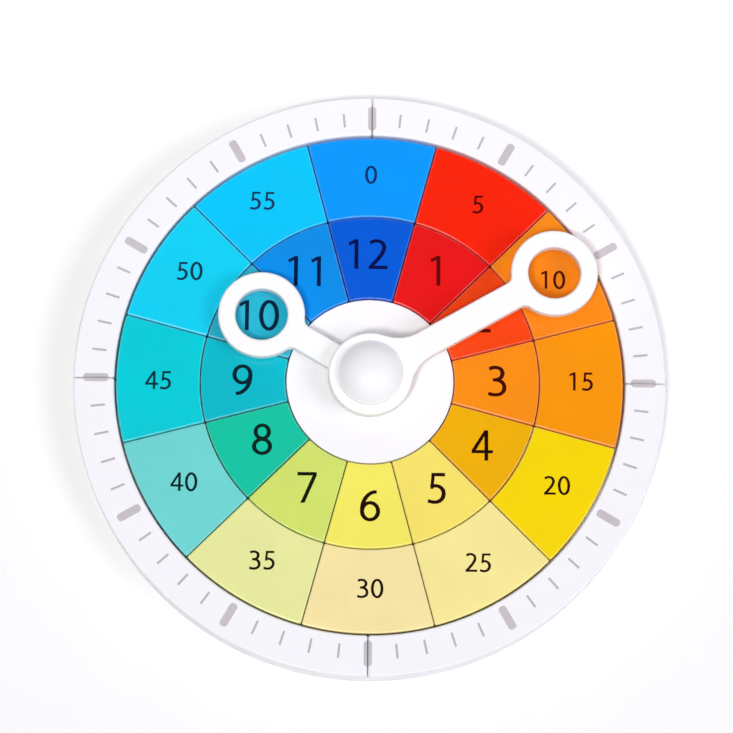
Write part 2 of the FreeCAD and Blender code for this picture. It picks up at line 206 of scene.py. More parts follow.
def stadium(length: float, width: float, split: float = 0.0) -> Outline:
    """Outline of a printed stroke along +X with rounded ends.

    Args:
        length: Length over the rounded ends.
        width: Width of the stroke.
        split: Width taken off the lower side, where a joint runs through the stroke.

    Returns:
        The outline, with its middle at the origin.
    """
    radius = width * STROKE_CORNER
    x = length / 2 - radius
    y = width / 2 - radius
    low = split / 2 if split else -width / 2
    pen = OutlinePen()
    pen.arc((x, y), radius, 0, 90)
    pen.arc((-x, y), radius, 90, 180)
    if split:
        small = min(radius, JOINT_CORNER)
        pen.arc((-length / 2 + small, low + small), small, 180, 270)
        pen.arc((length / 2 - small, low + small), small, 270, 360)
    else:
        pen.arc((-x, -y), radius, 180, 270)
        pen.arc((x, -y), radius, 270, 360)
    return pen.close()


# ------------------------------------------------------------------ meshes

def round_edges(bottom: float, top: float, low_radius: float,
                high_radius: float) -> list[ProfilePoint]:
    """Profile of a flat piece's side, from its underside to its top.

    Args:
        bottom: Height of the underside.
        top: Height of the top.
        low_radius: Radius of the lower edge.
        high_radius: Radius of the upper edge.

    Returns:
        Points of inset, height and wear, where wear is 1 on the crest of an edge.
    """
    low: list[ProfilePoint] = []
    high: list[ProfilePoint] = []
    for step in range(EDGE_STEPS + 1):
        t = math.pi / 2 * step / EDGE_STEPS
        across, along, wear = 1 - math.sin(t), 1 - math.cos(t), math.sin(2 * t)
        low.append((low_radius * across, bottom + low_radius * along, wear))
        high.append((high_radius * along, top - high_radius * across, wear))
    return [(low_radius + SUPPORT, bottom, 0.0), *low, (0.0, bottom + low_radius + SUPPORT, 0.0),
            (0.0, top - high_radius - SUPPORT, 0.0), *high, (high_radius + SUPPORT, top, 0.0)]


def slanted_edge(bottom: float, cut: float, below: float = SLANT_SUPPORT) -> list[ProfilePoint]:
    """Profile of a lower edge that is cut off at a slant.

    Args:
        bottom: Height of the underside.
        cut: Width and height of the slant.
        below: From the slant to the loop that keeps the underside flat.

    Returns:
        Points of inset, height and wear, from the underside up.
    """
    return [(cut + below, bottom, 0.0), (cut, bottom, SLANT_WEAR),
            (0.0, bottom + cut, SLANT_WEAR), (0.0, bottom + cut + SLANT_SUPPORT, 0.0)]


def add_object(name: str, data: bpy.types.ID) -> bpy.types.Object:
    """Put data in the scene as an object at the origin."""
    made = bpy.data.objects.new(name, data)
    bpy.context.scene.collection.objects.link(made)
    return made


def discard(*blanks: bpy.types.Object) -> None:
    """Delete blanks that have been copied."""
    for blank in blanks:
        bpy.data.objects.remove(blank)


class Shell:
    """Closed mesh put together from level rings of points and the faces between them."""

    def __init__(self) -> None:
        """Start an empty mesh that also stores how worn each point is, and how upright its wall."""
        self.mesh = bmesh.new()
        self.wear = self.mesh.verts.layers.float.new("edge_wear")
        self.side = self.mesh.verts.layers.float.new("side")

    def ring(self, points: np.ndarray, height: float,
             wear: float = 0.0) -> list[bmesh.types.BMVert]:
        """Add one level ring of points.

        Args:
            points: Places in the dial's plane, in millimetres.
            height: Height above the table, in millimetres.
            wear: How worn the points are, from 0 to 1.

        Returns:
            The new points.
        """
        made = []
        for x, y in points:
            vert = self.mesh.verts.new((x * MM, y * MM, height * MM))
            vert[self.wear] = wear
            made.append(vert)
        return made

    def wall(self, first: list, second: list) -> None:
        """Join two rings with as many points, or a ring and a single point.

        Args:
            first: One ring.
            second: The other ring.
        """
        count = max(len(first), len(second))
        for i in range(count):
            j = (i + 1) % count
            corners = [first[i % len(first)], first[j % len(first)],
                       second[j % len(second)], second[i % len(second)]]
            self.mesh.faces.new(list(dict.fromkeys(corners)))

    def stack(self, rings: Sequence[list]) -> None:
        """Join each ring to the next."""
        for first, second in zip(rings, rings[1:]):
            self.wall(first, second)

    def cap(self, *rings: list) -> None:
        """Fill a level face.

        Args:
            rings: The ring that bounds it, then any rings that are holes in it.
        """
        if len(rings) == 1:
            self.mesh.faces.new(rings[0])
            return
        edges = []
        for ring in rings:
            for first, second in zip(ring, ring[1:] + ring[:1]):
                side = (first, second)
                edges.append(self.mesh.edges.get(side) or self.mesh.edges.new(side))
        bmesh.ops.triangle_fill(self.mesh, use_beauty=True, use_dissolve=False, edges=edges)

    def sides(self, outline: Outline, profile: Iterable[ProfilePoint]) -> list[list]:
        """Run a profile round an outline.

        Args:
            outline: The outline.
            profile: Points of inset, height and wear.

        Returns:
            The rings, from the first profile point to the last.
        """
        rings = [self.ring(outline.inset(inset), height, wear) for inset, height, wear in profile]
        self.stack(rings)
        return rings

    def done(self, name: str, material: bpy.types.Material) -> bpy.types.Object:
        """Close the mesh and make it an object.

        Args:
            name: Name of the piece.
            material: Its finish.

        Returns:
            The object, at the origin.
        """
        bmesh.ops.recalc_face_normals(self.mesh, faces=self.mesh.faces)
        self.mesh.normal_update()
        for vert in self.mesh.verts:
            vert[self.side] = max(0.0, 1.0 - abs(vert.normal.z) / SIDE_LIMIT)
        data = bpy.data.meshes.new(name)
        self.mesh.to_mesh(data)
        self.mesh.free()
        data.shade_smooth()
        data.set_sharp_from_angle(angle=math.radians(SHARP_ANGLE))
        data.materials.append(material)
        return add_object(name, data)


def plate(name: str, outlines: Sequence[Outline], profile: Sequence[ProfilePoint],
          material: bpy.types.Material) -> bpy.types.Object:
    """Flat piece with the same edges all round.

    Args:
        name: Name of the piece.
        outlines: Outer outline, then any holes.
        profile: Points of inset, height and wear, from the underside to the top.
        material: Its finish.

    Returns:
        The piece.
    """
    shell = Shell()
    stacks = [shell.sides(outline, profile) for outline in outlines]
    shell.cap(*(rings[0] for rings in stacks))
    shell.cap(*(rings[-1] for rings in stacks))
    return shell.done(name, material)


# ------------------------------------------------------------------- nodes

class TreeMaker:
    """Node tree in the making."""

    mix_first, mix_second, mix_outcome = 6, 7, 2     # places of a mix node's colour sockets

    def __init__(self, tree: bpy.types.NodeTree) -> None:
        """Start on a tree."""
        self.tree = tree

    def wire(self, node: bpy.types.Node, inputs: dict[object, object]) -> None:
        """Feed a node.

        Args:
            node: The node.
            inputs: What each input takes, by its name or place: a plain value, a socket, or a
                node, which stands for its first output.
        """
        for label, value in inputs.items():
            if isinstance(value, bpy.types.Node):
                value = value.outputs[0]
            if isinstance(value, bpy.types.NodeSocket):
                self.tree.links.new(value, node.inputs[label])
            else:
                node.inputs[label].default_value = value

    def node(self, kind: str, inputs: dict[object, object] | None = None,
             **settings: object) -> bpy.types.Node:
        """Add a node.

        Args:
            kind: Blender's name of it.
            inputs: What each input takes, as wire has it.
            settings: Its own settings.

        Returns:
            The node.
        """
        made = self.tree.nodes.new(kind)
        for name, value in settings.items():
            setattr(made, name, value)
        self.wire(made, inputs or {})
        return made

    def reckon(self, operation: str, *values: object, clamp: bool = False) -> bpy.types.Node:
        """One step of arithmetic on nodes, sockets and numbers."""
        return self.node("ShaderNodeMath", dict(enumerate(values)), operation=operation,
                         use_clamp=clamp)

    def noise(self, place: object, scale: float, detail: float) -> bpy.types.Node:
        """Noise at a place, with its scale per metre."""
        return self.node("ShaderNodeTexNoise", {"Vector": place, "Scale": scale, "Detail": detail})

    def stored(self, name: str) -> bpy.types.NodeSocket:
        """Value that the mesh stores at each of its points."""
        return self.node("ShaderNodeAttribute", attribute_name=name).outputs["Fac"]

    def blend(self, share: object, first: object, second: object) -> bpy.types.NodeSocket:
        """Mix of two colours, by the share of the second."""
        mix = self.node("ShaderNodeMix", data_type="RGBA")
        self.wire(mix, {0: share, self.mix_first: first, self.mix_second: second})
        return mix.outputs[self.mix_outcome]


class GroupMaker(TreeMaker):
    """Node group in the making, with named inputs and outputs."""

    def __init__(self, name: str, tree_kind: str, inputs: dict[str, str],
                 outputs: dict[str, str]) -> None:
        """Start the group.

        Args:
            name: Name of the group.
            tree_kind: Blender's name of the kind of tree.
            inputs: Kind of each input.
            outputs: Kind of each output.
        """
        super().__init__(bpy.data.node_groups.new(name, tree_kind))
        self.identifiers: dict[str, str] = {}
        for way, kinds in (("INPUT", inputs), ("OUTPUT", outputs)):
            for label, kind in kinds.items():
                socket = self.tree.interface.new_socket(label, in_out=way,
                                                        socket_type=f"NodeSocket{kind}")
                self.identifiers[label] = socket.identifier
        self.given = self.node("NodeGroupInput").outputs

    def close(self, *values: object) -> bpy.types.NodeTree:
        """Feed the outputs, in their order, and hand over the group."""
        self.node("NodeGroupOutput", dict(enumerate(values)))
        return self.tree


class AxisRepeater:
    """Geometry nodes that turn copies of a blank about an upright axis."""

    def __init__(self) -> None:
        """Build the tree once, with named inputs."""
        made = GroupMaker(
            "Copies about an axis", "GeometryNodeTree",
            {"Blank": "Geometry", "Count": "Int", "First angle": "Float", "Step angle": "Float",
             "Axis": "Vector", "Finish": "Material"},
            {"Copies": "Geometry"})
        given = made.given
        places = made.node("GeometryNodePoints",
                           {"Count": given["Count"], "Position": given["Axis"]})
        turn = made.reckon("MULTIPLY_ADD", made.node("GeometryNodeInputIndex"),
                           given["Step angle"], given["First angle"])
        rotation = made.node("FunctionNodeEulerToRotation",
                             {0: made.node("ShaderNodeCombineXYZ", {"Z": turn})})
        copies = made.node("GeometryNodeInstanceOnPoints", {
            "Points": places, "Instance": given["Blank"], "Rotation": rotation})
        real = made.node("GeometryNodeRealizeInstances", {0: copies})
        self.tree = made.close(made.node("GeometryNodeSetMaterial", {
            "Geometry": real, "Material": given["Finish"]}))
        self.identifiers = made.identifiers

    def copies(self, blank: bpy.types.Object, name: str, material: bpy.types.Material,
               count: int = 1, first: float = 0.0, step: float = 0.0,
               axis: Sequence[float] = (0.0, 0.0)) -> bpy.types.Object:
        """Turn copies of a blank about an axis, as one plain mesh.

        Args:
            blank: Piece modelled about the origin. It is left as it is.
            name: Name of the new piece.
            material: Finish of the new piece.
            count: Number of copies.
            first: Angle of the first copy, in degrees.
            step: Angle from one copy to the next, in degrees.
            axis: Place of the axis in the dial's plane, in millimetres.

        Returns:
            The new piece, with no modifier.
        """
        work = blank.copy()
        bpy.context.scene.collection.objects.link(work)
        modifier = work.modifiers.new("copies", "NODES")
        modifier.node_group = self.tree
        values = {"Count": count, "First angle": math.radians(first),
                  "Step angle": math.radians(step), "Axis": (axis[0] * MM, axis[1] * MM, 0.0),
                  "Finish": material}
        for label, value in values.items():
            modifier[self.identifiers[label]] = value
        graph = bpy.context.evaluated_depsgraph_get()
        data = bpy.data.meshes.new_from_object(
            work.evaluated_get(graph), preserve_all_data_layers=True, depsgraph=graph)
        work.modifiers.remove(modifier)
        discard(work)
        data.name = name
        return add_object(name, data)


# ---------------------------------------------------------------- finishes

def linear(colour: Colour) -> tuple[float, float, float, float]:
    """Scene colour of a paint given as it looks, from 0 to 255."""
    parts = [c / 255 for c in colour]
    return (*(p / 12.92 if p <= 0.04045 else ((p + 0.055) / 1.055) ** 2.4 for p in parts), 1.0)


class Effects:
    """Shader node groups that several finishes share. Scales are per metre."""

    cloud_scale = 38.0
    streak_scale = 420.0
    streak_stretch = (1.0, 0.22, 1.0)
    streak_turn = (0.0, 0.0, 0.5)
    chip_scale = 260.0
    skin_scale = 900.0
    stain_scale = 180.0
    lathe_pitch = 2600.0     # of the lines, in radians per metre
    cloud_curve = (2.4, -0.7)        # slope and start of each curve
    chip_curve = (1.6, -0.25)
    thin_curve = (3.0, -1.2)
    stain_curve = (1.4, -0.45)
    streak_share = 0.35      # of the fine streaks in the clouds
    chip_share = 0.5         # of the chips in the thin sides
    cloud_gloss = 0.12       # roughness that clouds, worn edges and stains add
    edge_gloss = 0.15
    stain_gloss = 0.2
    outcomes = {"Colour": "Color", "Roughness": "Float", "Relief": "Float"}

    def __init__(self) -> None:
        """Build each group once."""
        self.paint = self._rolled_paint()
        self.turning = self._turning_lines()

    def _rolled_paint(self) -> bpy.types.NodeTree:
        """Satin paint on smooth wood: clouds, skin, pale rubbed edges, and paler sides that are
        partly a painted highlight.

        Returns:
            A group with outputs Colour, Roughness and Relief.
        """
        made = GroupMaker(
            "Rolled paint", "ShaderNodeTree",
            {"Paint": "Color", "Shade": "Color", "Rubbed": "Color", "Clouds": "Float",
             "Edge wear": "Float", "Thin sides": "Float", "Sheen loss": "Float"}, self.outcomes)
        given, reckon = made.given, made.reckon
        place = made.node("ShaderNodeTexCoord").outputs["Object"]
        streaks = made.node("ShaderNodeMapping", {
            "Vector": place, "Scale": self.streak_stretch, "Rotation": self.streak_turn})
        broad = made.noise(place, self.cloud_scale, 3.0)
        fine = made.noise(streaks, self.streak_scale, 2.0)
        chips = made.noise(place, self.chip_scale, 3.0)
        cloud = reckon("MULTIPLY_ADD", broad, *self.cloud_curve, clamp=True)
        cloud = reckon("MULTIPLY_ADD", fine, self.streak_share, cloud, clamp=True)
        cloud = reckon("MULTIPLY", cloud, given["Clouds"])
        painted = made.blend(cloud, given["Paint"], given["Shade"])
        edge = reckon("MULTIPLY_ADD", chips, *self.chip_curve, clamp=True)
        edge = reckon("MULTIPLY", edge, made.stored("edge_wear"))
        edge = reckon("MULTIPLY", edge, given["Edge wear"], clamp=True)
        # Sides paled towards the rubbed colour: thin paint, and partly a painted highlight on the
        # walls.
        thin = reckon("MULTIPLY_ADD", chips, self.chip_share, made.stored("side"))
        thin = reckon("MULTIPLY_ADD", thin, *self.thin_curve, clamp=True)
        thin = reckon("MULTIPLY", thin, given["Thin sides"])
        edge = reckon("MAXIMUM", edge, thin)
        rough = reckon("MULTIPLY_ADD", broad, self.cloud_gloss, given["Sheen loss"])
        rough = reckon("MULTIPLY_ADD", edge, self.edge_gloss, rough, clamp=True)
        return made.close(made.blend(edge, painted, given["Rubbed"]), rough,
                          made.noise(place, self.skin_scale, 2.0))

    def _turning_lines(self) -> bpy.types.NodeTree:
        """Fine rings that a lathe leaves on metal, round the piece's own axis.

        Returns:
            A group with outputs Colour, Roughness and Relief.
        """
        made = GroupMaker(
            "Turning lines", "ShaderNodeTree",
            {"Place": "Vector", "Metal": "Color", "Tarnish": "Color", "Sheen loss": "Float"},
            self.outcomes)
        given, reckon = made.given, made.reckon
        flat = made.node("ShaderNodeVectorMath", {0: given["Place"], 1: (1, 1, 0)},
                         operation="MULTIPLY")
        radius = made.node("ShaderNodeVectorMath", {0: flat}, operation="LENGTH")
        rings = reckon("SINE", reckon("MULTIPLY", radius.outputs["Value"], self.lathe_pitch))
        stain = made.noise(given["Place"], self.stain_scale, 4.0)
        amount = reckon("MULTIPLY_ADD", stain, *self.stain_curve, clamp=True)
        rough = reckon("MULTIPLY_ADD", stain, self.stain_gloss, given["Sheen loss"], clamp=True)
        return made.close(made.blend(amount, given["Metal"], given["Tarnish"]), rough, rings)


def new_material(name: str, group: bpy.types.NodeTree, relief: float, values: dict[str, object]
                 ) -> tuple[bpy.types.Material, bpy.types.Node, bpy.types.Node]:
    """Material whose colour, roughness and bump come from a shared effect.

    Args:
        name: Name of the material.
        group: The effect.
        relief: Depth of the bump, in metres.
        values: Values of the effect's inputs in this material.

    Returns:
        The material, its effect node and its surface shader.
    """
    material = bpy.data.materials.new(name)
    material.use_nodes = True
    tree = TreeMaker(material.node_tree)
    surface = material.node_tree.nodes["Principled BSDF"]
    effect = tree.node("ShaderNodeGroup", node_tree=group)
    tree.wire(effect, values)
    bump = tree.node("ShaderNodeBump", {
        "Distance": relief, "Strength": BUMP_STRENGTH, "Height": effect.outputs["Relief"]})
    tree.wire(surface, {"Base Color": effect.outputs["Colour"],
                        "Roughness": effect.outputs["Roughness"], "Normal": bump})
    return material, effect, surface


def darker(colour: tuple, share: float) -> tuple[float, float, float, float]:
    """Scene colour with a share of its light left."""
    return (*(c * share for c in colour[:3]), 1.0)


def paler(colour: tuple, share: float) -> tuple[float, float, float, float]:
    """Scene colour with a share of pale primer showing through."""
    return (*(c + (PRIMER - c) * share for c in colour[:3]), 1.0)


@dataclass(frozen=True)
class PaintFinish:
    """Satin paint on wood."""

    name: str
    colour: Colour
    clouds: float = 0.5
    drift: float = 0.93          # light left in the darkest cloud
    wear: float = 0.5
    rubbed: float = 0.45         # how pale a rubbed edge is
    thin_sides: float = 0.0      # how much of that shows on the sides: thin paint, and partly a painted highlight on lit walls
    sheen_loss: float = 0.36
    skin: float = 0.00001        # relief of the paint's skin, in metres
    specular: float = 0.3

    def material(self, effects: Effects) -> bpy.types.Material:
        """Make the material.

        Args:
            effects: The shared effects.

        Returns:
            The material.
        """
        paint = linear(self.colour)
        material, _, surface = new_material(self.name, effects.paint, self.skin, {
            "Paint": paint, "Shade": darker(paint, self.drift), "Rubbed": paler(paint, self.rubbed),
            "Clouds": self.clouds, "Edge wear": self.wear, "Thin sides": self.thin_sides,
            "Sheen loss": self.sheen_loss})
        surface.inputs["Specular IOR Level"].default_value = self.specular
        return material


@dataclass(frozen=True)
class MetalFinish:
    """Metal turned on a lathe."""

    name: str
    colour: Colour
    tarnish: float = 0.6         # light left in the darkest stain
    sheen_loss: float = 0.22
    relief: float = 0.000004     # of the lathe's lines, in metres

    def material(self, effects: Effects, axis: Sequence[float] = (0.0, 0.0)) -> bpy.types.Material:
        """Make the material.

        Args:
            effects: The shared effects.
            axis: Place of the lathe's axis in the dial's plane, in millimetres.

        Returns:
            The material.
        """
        metal = linear(self.colour)
        material, effect, surface = new_material(self.name, effects.turning, self.relief, {
            "Metal": metal, "Tarnish": darker(metal, self.tarnish), "Sheen loss": self.sheen_loss})
        tree = TreeMaker(material.node_tree)
        place = tree.node("ShaderNodeTexCoord").outputs["Object"]
        tree.wire(effect, {"Place": tree.node("ShaderNodeMapping", {
            "Vector": place, "Location": (-axis[0] * MM, -axis[1] * MM, 0.0)})})
        surface.inputs["Metallic"].default_value = 1.0
        return material


class WhitePart(Enum):
    """White pieces that differ a little in tone; the hub's lighter paint is partly painted light.
    """

    BOARD = PaintFinish("White board paint", (247, 246, 248), clouds=0.6, drift=0.97)
    RIM = PaintFinish("White rim paint", (249, 248, 251), clouds=0.5, drift=0.97)
    # The hub's paint is lighter than the rim's: painted light that brightens the hub against the
    # shade the hands cast on it.
    HUB = PaintFinish("White hub paint", (251, 249, 251), clouds=0.6, drift=0.965)
    HAND = PaintFinish("White hand paint", (253, 253, 253), clouds=0.4, drift=0.975)
    KNOB = PaintFinish("White knob paint", (249, 248, 250), clouds=0.5, drift=0.97)
    COVER = PaintFinish("White cover paint", (240, 239, 238), clouds=0.8, sheen_loss=0.5)


class InnerPart(Enum):
    """Materials of the small parts inside."""

    BRASS = MetalFinish("Turned brass", (214, 182, 110))
    STEEL = MetalFinish("Bright steel", (200, 200, 203))
    GEAR = PaintFinish("Ivory moulded plastic", (236, 233, 220), clouds=0.3, wear=0.0,
                       sheen_loss=0.45)
    WASHER = PaintFinish("White moulded plastic", (240, 240, 236), clouds=0.3, wear=0.0,
                         sheen_loss=0.5)


@dataclass(frozen=True)
class TilePaint:
    """Paint of one tile, the ink of its numeral, and how far that print is off its place."""

    paint: Colour
    ink: Colour
    shift: tuple[float, float] = (0.0, 0.0)      # in millimetres, to the right and up


MINUTE_PAINTS = (
    TilePaint((3, 155, 254), (14, 46, 104), (-0.3, 0.3)),
    TilePaint((254, 34, 0), (90, 2, 0), (1.2, -0.5)),
    TilePaint((250, 141, 20), (84, 6, 0), (-0.1, -0.8)),
    TilePaint((254, 154, 6), (66, 8, 0), (-0.4, -0.2)),
    TilePaint((254, 222, 0), (46, 10, 0), (1.6, -0.3)),
    TilePaint((254, 240, 155), (42, 14, 2), (1.4, -0.6)),
    TilePaint((254, 236, 169), (34, 14, 4), (0.9, 0.2)),
    TilePaint((239, 241, 162), (28, 24, 4), (0.6, -0.5)),
    TilePaint((116, 220, 215), (0, 42, 44), (0.0, -0.5)),
    TilePaint((3, 210, 220), (8, 50, 62), (0.4, -2.0)),
    TilePaint((16, 214, 247), (14, 54, 78), (0.3, 1.6)),
    TilePaint((3, 203, 253), (20, 58, 98), (-2.3, 0.1)),
)
HOUR_PAINTS = (
    TilePaint((0, 92, 218), (0, 10, 78), (-2.1, 0.0)),
    TilePaint((237, 19, 21), (101, 0, 0), (1.4, 0.4)),
    TilePaint((246, 72, 14), (84, 0, 0), (0.0, 0.0)),
    TilePaint((254, 146, 17), (70, 0, 0), (-0.5, -0.5)),
    TilePaint((246, 181, 0), (34, 2, 0), (0.5, -1.2)),
    TilePaint((254, 234, 109), (38, 6, 0), (1.6, 0.5)),
    TilePaint((253, 242, 102), (29, 7, 0), (0.5, 0.0)),
    TilePaint((216, 233, 111), (16, 17, 0), (1.4, 0.2)),
    TilePaint((19, 202, 165), (0, 38, 30), (2.4, 0.7)),
    TilePaint((7, 191, 206), (0, 36, 47), (0.7, -1.4)),
    TilePaint((42, 182, 208), (0, 32, 59), (-1.0, -0.2)),
    TilePaint((4, 144, 235), (0, 20, 70), (-0.3, -0.6)),
)


# ---------------------------------------------------------------- numerals

@dataclass(frozen=True)
class Stroke:
    """Pen stroke through points, on a body one hundred units high."""

    points: tuple[tuple[float, float], ...]


@dataclass(frozen=True)
class Block:
    """Straight-sided part of a digit."""

    corners: tuple[tuple[float, float], ...]


@dataclass(frozen=True)
class Bowl:
    """Closed oval stroke."""

    centre: tuple[float, float]
    reach: tuple[float, float]


DIGITS: dict[str, tuple] = {
    "0": (Bowl((39.5, 50.0), (27.0, 45.8)),),
    "1": (Block(((36.3, 0), (49.5, 0), (49.5, 100), (37.8, 100), (16, 88.4), (18.6, 78.1),
                 (36.3, 87.4))),),
    "2": (Stroke(((11, 87.5), (22, 93.5), (35, 95.2), (50, 90.5), (58.5, 79), (57.5, 64), (47, 45),
                  (31, 26), (14, 8.5))),
          Block(((6.5, 0), (71, 0), (71, 11.3), (20, 11.3), (6.5, 11.3)))),
    "3": (Stroke(((11, 89.5), (21, 94), (33, 95.3), (47, 91.5), (55, 82), (55.5, 71), (49, 60.5),
                  (37, 55), (23, 54))),
          Stroke(((23, 54), (40, 53), (54, 46.5), (61.5, 35), (61, 21), (52, 9.5), (37, 4.8),
                  (21, 5.2), (7.5, 9.5)))),
    "4": (Block(((3, 24.5), (75, 24.5), (75, 34.5), (3, 34.5))),
          Block(((46.5, 0), (59, 0), (59, 100), (46.5, 100))),
          Block(((3, 34.5), (17, 34.5), (59, 100), (46.5, 100)))),
    "5": (Block(((20.5, 89), (66, 89), (66, 100), (20.5, 100))),
          Block(((20.5, 100), (16, 48), (27, 48), (32, 100))),
          Stroke(((17, 53.5), (31, 58), (46, 55.5), (57.5, 46), (61.5, 32), (57, 17.5), (45, 7.5),
                  (29, 4.6), (8, 8.5)))),
    "6": (Stroke(((62, 95.2), (48, 93), (34, 85), (22, 71), (15, 54), (13, 36))),
          Bowl((40.0, 32.0), (27.0, 27.5))),
    "7": (Block(((7, 89), (72, 89), (72, 100), (7, 100))),
          Block(((58.5, 89), (72, 89), (32, 0), (18, 0)))),
    "8": (Bowl((39.5, 74.5), (22.5, 21.5)), Bowl((39.5, 27.0), (27.0, 23.0))),
}
DIGIT_HEIGHT = 100.0
DIGIT_ADVANCE = 79.0


def anticlockwise(points: np.ndarray) -> np.ndarray:
    """The corners of a polygon, turned round where they run clockwise."""
    x, y = points.T
    return points[::-1] if np.dot(x, np.roll(y, -1)) < np.dot(y, np.roll(x, -1)) else points


class NumeralPress:
    """Draws digits with a broad pen and prints them as thin closed films of ink."""

    upright_width = 13.9
    level_width = 11.0
    narrowing = 0.95         # width of the digits for their height
    stroke_steps = 20        # from one point of a stroke to the next
    bowl_steps = 64          # round a bowl
    weld = 1e-4              # millimetres between points that become one
    level_angle = 0.001      # radians between faces that become one

    def __init__(self) -> None:
        """Start with a pen of the usual weight."""
        self.weight = 1.0

    def half_width(self, direction: np.ndarray) -> float:
        """Half the stroke's width where the pen moves in a direction."""
        dx, dy = direction
        return self.weight * math.hypot(self.upright_width * dy, self.level_width * dx) / 2

    def block(self, corners: Sequence[tuple[float, float]]) -> np.ndarray:
        """Grow a straight-sided part with the pen's weight.

        Args:
            corners: Its corners for the usual pen.

        Returns:
            Its corners.
        """
        points = anticlockwise(np.array(corners, float))
        along = np.roll(points, -1, 0) - points
        along /= np.linalg.norm(along, axis=1)[:, None]
        out = np.stack((along[:, 1], -along[:, 0]), 1)
        before = np.roll(out, 1, 0)
        mitre = (out + before) / (1 + (out * before).sum(1))[:, None]
        grown = points + mitre * (self.weight - 1) * self.level_width / 2
        return np.stack((grown[:, 0], np.clip(grown[:, 1], 0, DIGIT_HEIGHT)), 1)

    def centreline(self, stroke: Stroke) -> np.ndarray:
        """Smooth line through a stroke's points.

        Args:
            stroke: The stroke.

        Returns:
            Points along it.
        """
        given = np.array(stroke.points)
        padded = np.vstack((2 * given[0] - given[1], given, 2 * given[-1] - given[-2]))
        line = []
        for a, b, c, d in zip(padded, padded[1:], padded[2:], padded[3:]):
            for t in np.arange(self.stroke_steps) / self.stroke_steps:
                line.append(0.5 * (2 * b + (c - a) * t + (2 * a - 5 * b + 4 * c - d) * t ** 2
                                   + (3 * b - a - 3 * c + d) * t ** 3))
        return np.array(line + [given[-1]])

    def ribbon(self, line: np.ndarray, closed: bool) -> list[np.ndarray]:
        """Quads that cover a pen stroke.

        Args:
            line: Points along the middle of the stroke.
            closed: True where the stroke meets its own start.

        Returns:
            The quads.
        """
        ahead, behind = np.roll(line, -1, 0), np.roll(line, 1, 0)
        if not closed:
            ahead[-1], behind[0] = line[-1], line[0]
        tangents = ahead - behind
        tangents /= np.linalg.norm(tangents, axis=1)[:, None]
        widths = np.array([self.half_width(t) for t in tangents])[:, None]
        across = np.stack((-tangents[:, 1], tangents[:, 0]), 1) * widths
        left, right = line + across, line - across
        last = len(line) if closed else len(line) - 1
        quads = []
        for i in range(last):
            j = (i + 1) % len(line)
            quads.append(np.array((left[i], right[i], right[j], left[j])))
        return quads

    def shapes(self, digit: str) -> list[np.ndarray]:
        """Convex pieces that cover a digit, on a body one hundred units high.

        Args:
            digit: The digit.

        Returns:
            Corners of each piece.
        """
        if digit == "9":
            far_corner = np.array((DIGIT_ADVANCE, DIGIT_HEIGHT))
            return [far_corner - piece for piece in self.shapes("6")]
        pieces: list[np.ndarray] = []
        for part in DIGITS[digit]:
            if isinstance(part, Block):
                pieces.append(self.block(part.corners))
            elif isinstance(part, Bowl):
                turns = np.arange(self.bowl_steps) * 2 * math.pi / self.bowl_steps
                line = np.stack((np.cos(turns), np.sin(turns)), 1) * part.reach + part.centre
                pieces += self.ribbon(line, closed=True)
            else:
                pieces += self.ribbon(self.centreline(part), closed=False)
        return pieces

    def film(self, name: str, text: str, height: float, middle: Sequence[float], level: float,
             material: bpy.types.Material, weight: float) -> bpy.types.Object:
        """Print a numeral.

        Args:
            name: Name of the piece.
            text: The digits.
            height: Height of a digit, in millimetres.
            middle: Middle of the numeral in the dial's plane, in millimetres.
            level: Height of the tile's top, in millimetres.
            material: The ink.
            weight: How heavy the pen is, where 1 is the usual pen.

        Returns:
            The film of ink, a little proud of the tile.
        """
        self.weight = weight
        scale = np.array((self.narrowing, 1.0)) * height / DIGIT_HEIGHT
        start = np.array(middle) - np.array((len(text) * DIGIT_ADVANCE, DIGIT_HEIGHT)) * scale / 2
        corners: list[Vector] = []
        faces: list[list[int]] = []
        for place, digit in enumerate(text):
            origin = start + np.array((place * DIGIT_ADVANCE * scale[0], 0))
            for piece in self.shapes(digit):
                points = anticlockwise(origin + piece * scale)
                faces.append(list(range(len(corners), len(corners) + len(points))))
                corners += [Vector(p) for p in points]
        places, _, cells, _, _, sources = delaunay_2d_cdt(corners, [], faces, 0, self.weld)
        mesh = bmesh.new()
        verts = [mesh.verts.new((p.x * MM, p.y * MM, (level - FILM_SUNK) * MM)) for p in places]
        for cell, source in zip(cells, sources):
            if source:
                mesh.faces.new([verts[i] for i in cell])
        bmesh.ops.delete(mesh, geom=[v for v in mesh.verts if not v.link_faces], context="VERTS")
        bmesh.ops.dissolve_limit(mesh, angle_limit=self.level_angle, verts=mesh.verts,
                                 edges=mesh.edges)
        raised = bmesh.ops.extrude_face_region(mesh, geom=mesh.faces[:], use_keep_orig=True)
        top = [v for v in raised["geom"] if isinstance(v, bmesh.types.BMVert)]
        bmesh.ops.translate(mesh, verts=top, vec=(0, 0, (FILM_SUNK + FILM_PROUD) * MM))
        bmesh.ops.recalc_face_normals(mesh, faces=mesh.faces)
        data = bpy.data.meshes.new(name)
        mesh.to_mesh(data)
        mesh.free()
        data.materials.append(material)
        return add_object(name, data)


# ------------------------------------------------------------ the workshop

